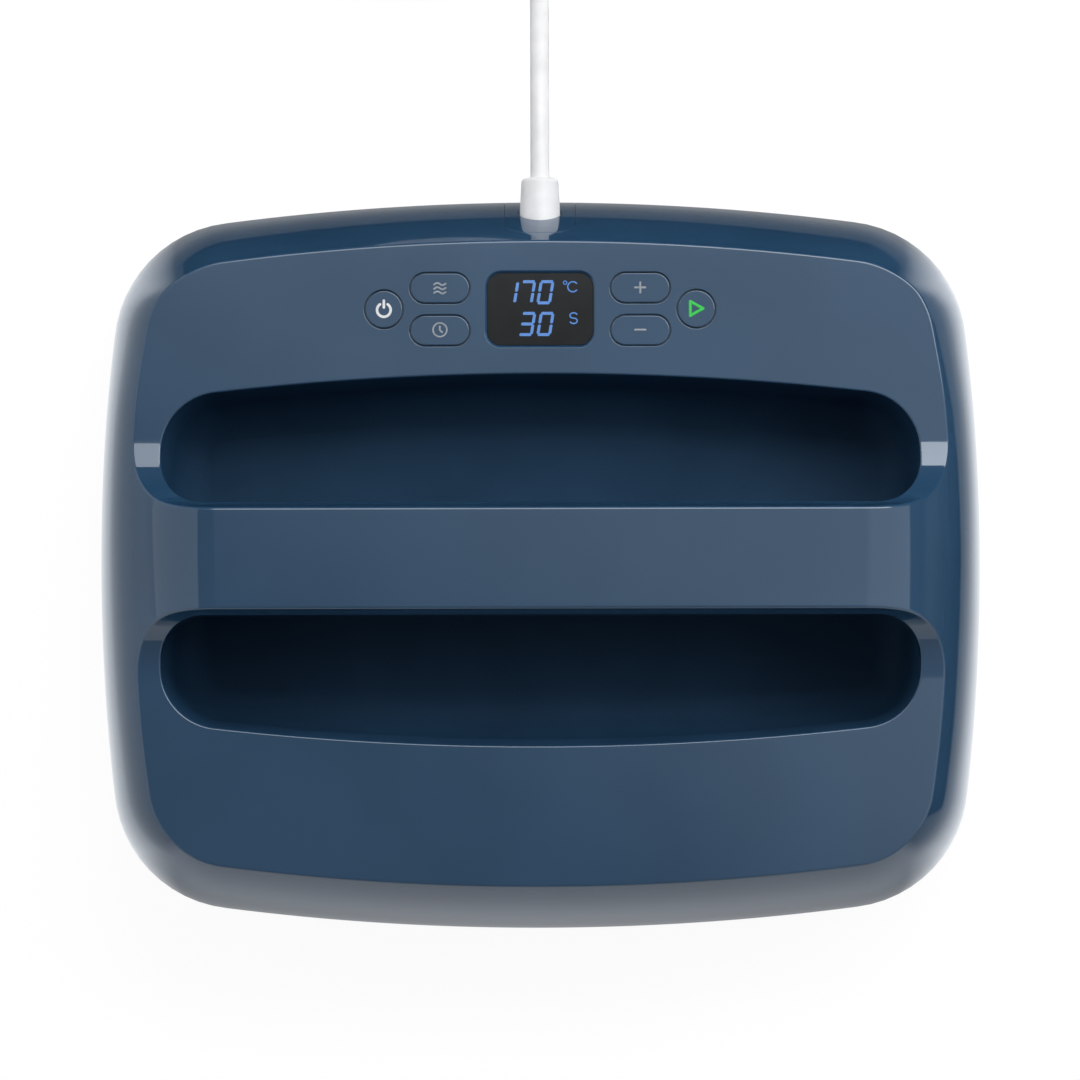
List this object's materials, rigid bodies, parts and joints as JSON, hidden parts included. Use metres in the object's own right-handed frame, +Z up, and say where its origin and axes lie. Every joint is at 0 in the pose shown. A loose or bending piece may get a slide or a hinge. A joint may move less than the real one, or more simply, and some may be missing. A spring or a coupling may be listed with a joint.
{
  "type": "handheld heat press",
  "caption": "Pillow-shaped handheld heat press with a bar handle between two hand scoops, a rear control panel with display, a flat heat plate below and a coiled mains lead.",
  "frame": {"origin": "middle of the heat plate's face, which is the lowest face; the handle's middle is straight above it", "axes": "+X to the right of a user at the front, along the handle; +Y to the rear, where the lead leaves; +Z up"},
  "size_m": [0.3458, 0.4715, 0.105],
  "materials": {
    "blue_gloss": "gloss, moulded in colour",
    "blue_satin": "satin, moulded in colour",
    "smoked_lens": "polished",
    "cast_aluminium": "cast, face coated",
    "steel": "zinc plated",
    "nickel": "nickel plated",
    "mineral_wool": "matte fibre",
    "steatite": "fired",
    "board": "solder mask",
    "black_plastic": "moulded",
    "clear_part": "clear",
    "green_plastic": "moulded",
    "grey_wire": "sleeved",
    "white_pvc": "satin",
    "black_strap": "woven"
  },
  "bodies": {
    "press_body": {"basin_screws": "steel", "board_ribbon": "grey_wire", "buzzer": "black_plastic", "capacitor": "black_plastic", "ceramic_standoffs": "steatite", "clamp_screws": "steel", "control_board": "board", "control_board_screws": "steel", "cord_clamp": "black_plastic", "cord_coil": "white_pvc", "cord_exit_cover": "blue_gloss", "cord_gland": "white_pvc", "cord_tail": "white_pvc", "cord_tie": "black_strap", "display_lens": "smoked_lens", "display_module": "black_plastic", "element_leads": "grey_wire", "fuse": "clear_part", "grip_basin": "blue_satin", "handle_screws": "steel", "handle_undercover": "blue_satin", "heat_plate": "cast_aluminium", "heat_shield": "steel", "heat_sink": "cast_aluminium", "heating_element": "steel", "housing_screws": "steel", "inner_cord": "white_pvc", "insulation_blanket": "mineral_wool", "lower_housing": "blue_satin", "mains_cord": "white_pvc", "mains_leads": "grey_wire", "plate_screws": "steel", "plug_body": "white_pvc", "plug_earth_clips": "steel", "plug_pins": "nickel", "power_board": "board", "power_board_screws": "steel", "relay": "black_plastic", "shield_screws": "steel", "status_lights": "clear_part", "tact_switches": "black_plastic", "temperature_sensor": "black_plastic", "terminal_block": "green_plastic", "thermal_fuse": "steatite", "top_shell": "blue_gloss", "transformer": "black_plastic", "triac": "black_plastic"},
    "power_button_body": {"power_button": "blue_gloss", "power_plunger": "black_plastic"},
    "temperature_button_body": {"temperature_button": "blue_gloss", "temperature_plunger": "black_plastic"},
    "timer_button_body": {"timer_button": "blue_gloss", "timer_plunger": "black_plastic"},
    "plus_button_body": {"plus_button": "blue_gloss", "plus_plunger": "black_plastic"},
    "minus_button_body": {"minus_button": "blue_gloss", "minus_plunger": "black_plastic"},
    "start_button_body": {"start_button": "blue_gloss", "start_plunger": "black_plastic"}
  },
  "joints": [
    {"name": "power_press", "type": "slide", "parent": "press_body", "child": "power_button_body", "axis": [0, 0, -1], "range_m": [0, 0.0006], "stiffness_N_per_m": 800, "springref_m": -0.0005},
    {"name": "temperature_press", "type": "slide", "parent": "press_body", "child": "temperature_button_body", "axis": [0, 0, -1], "range_m": [0, 0.0006], "stiffness_N_per_m": 800, "springref_m": -0.0005},
    {"name": "timer_press", "type": "slide", "parent": "press_body", "child": "timer_button_body", "axis": [0, 0, -1], "range_m": [0, 0.0006], "stiffness_N_per_m": 800, "springref_m": -0.0005},
    {"name": "plus_press", "type": "slide", "parent": "press_body", "child": "plus_button_body", "axis": [0, 0, -1], "range_m": [0, 0.0006], "stiffness_N_per_m": 800, "springref_m": -0.0005},
    {"name": "minus_press", "type": "slide", "parent": "press_body", "child": "minus_button_body", "axis": [0, 0, -1], "range_m": [0, 0.0006], "stiffness_N_per_m": 800, "springref_m": -0.0005},
    {"name": "start_press", "type": "slide", "parent": "press_body", "child": "start_button_body", "axis": [0, 0, -1], "range_m": [0, 0.0006], "stiffness_N_per_m": 800, "springref_m": -0.0005}
  ]
}
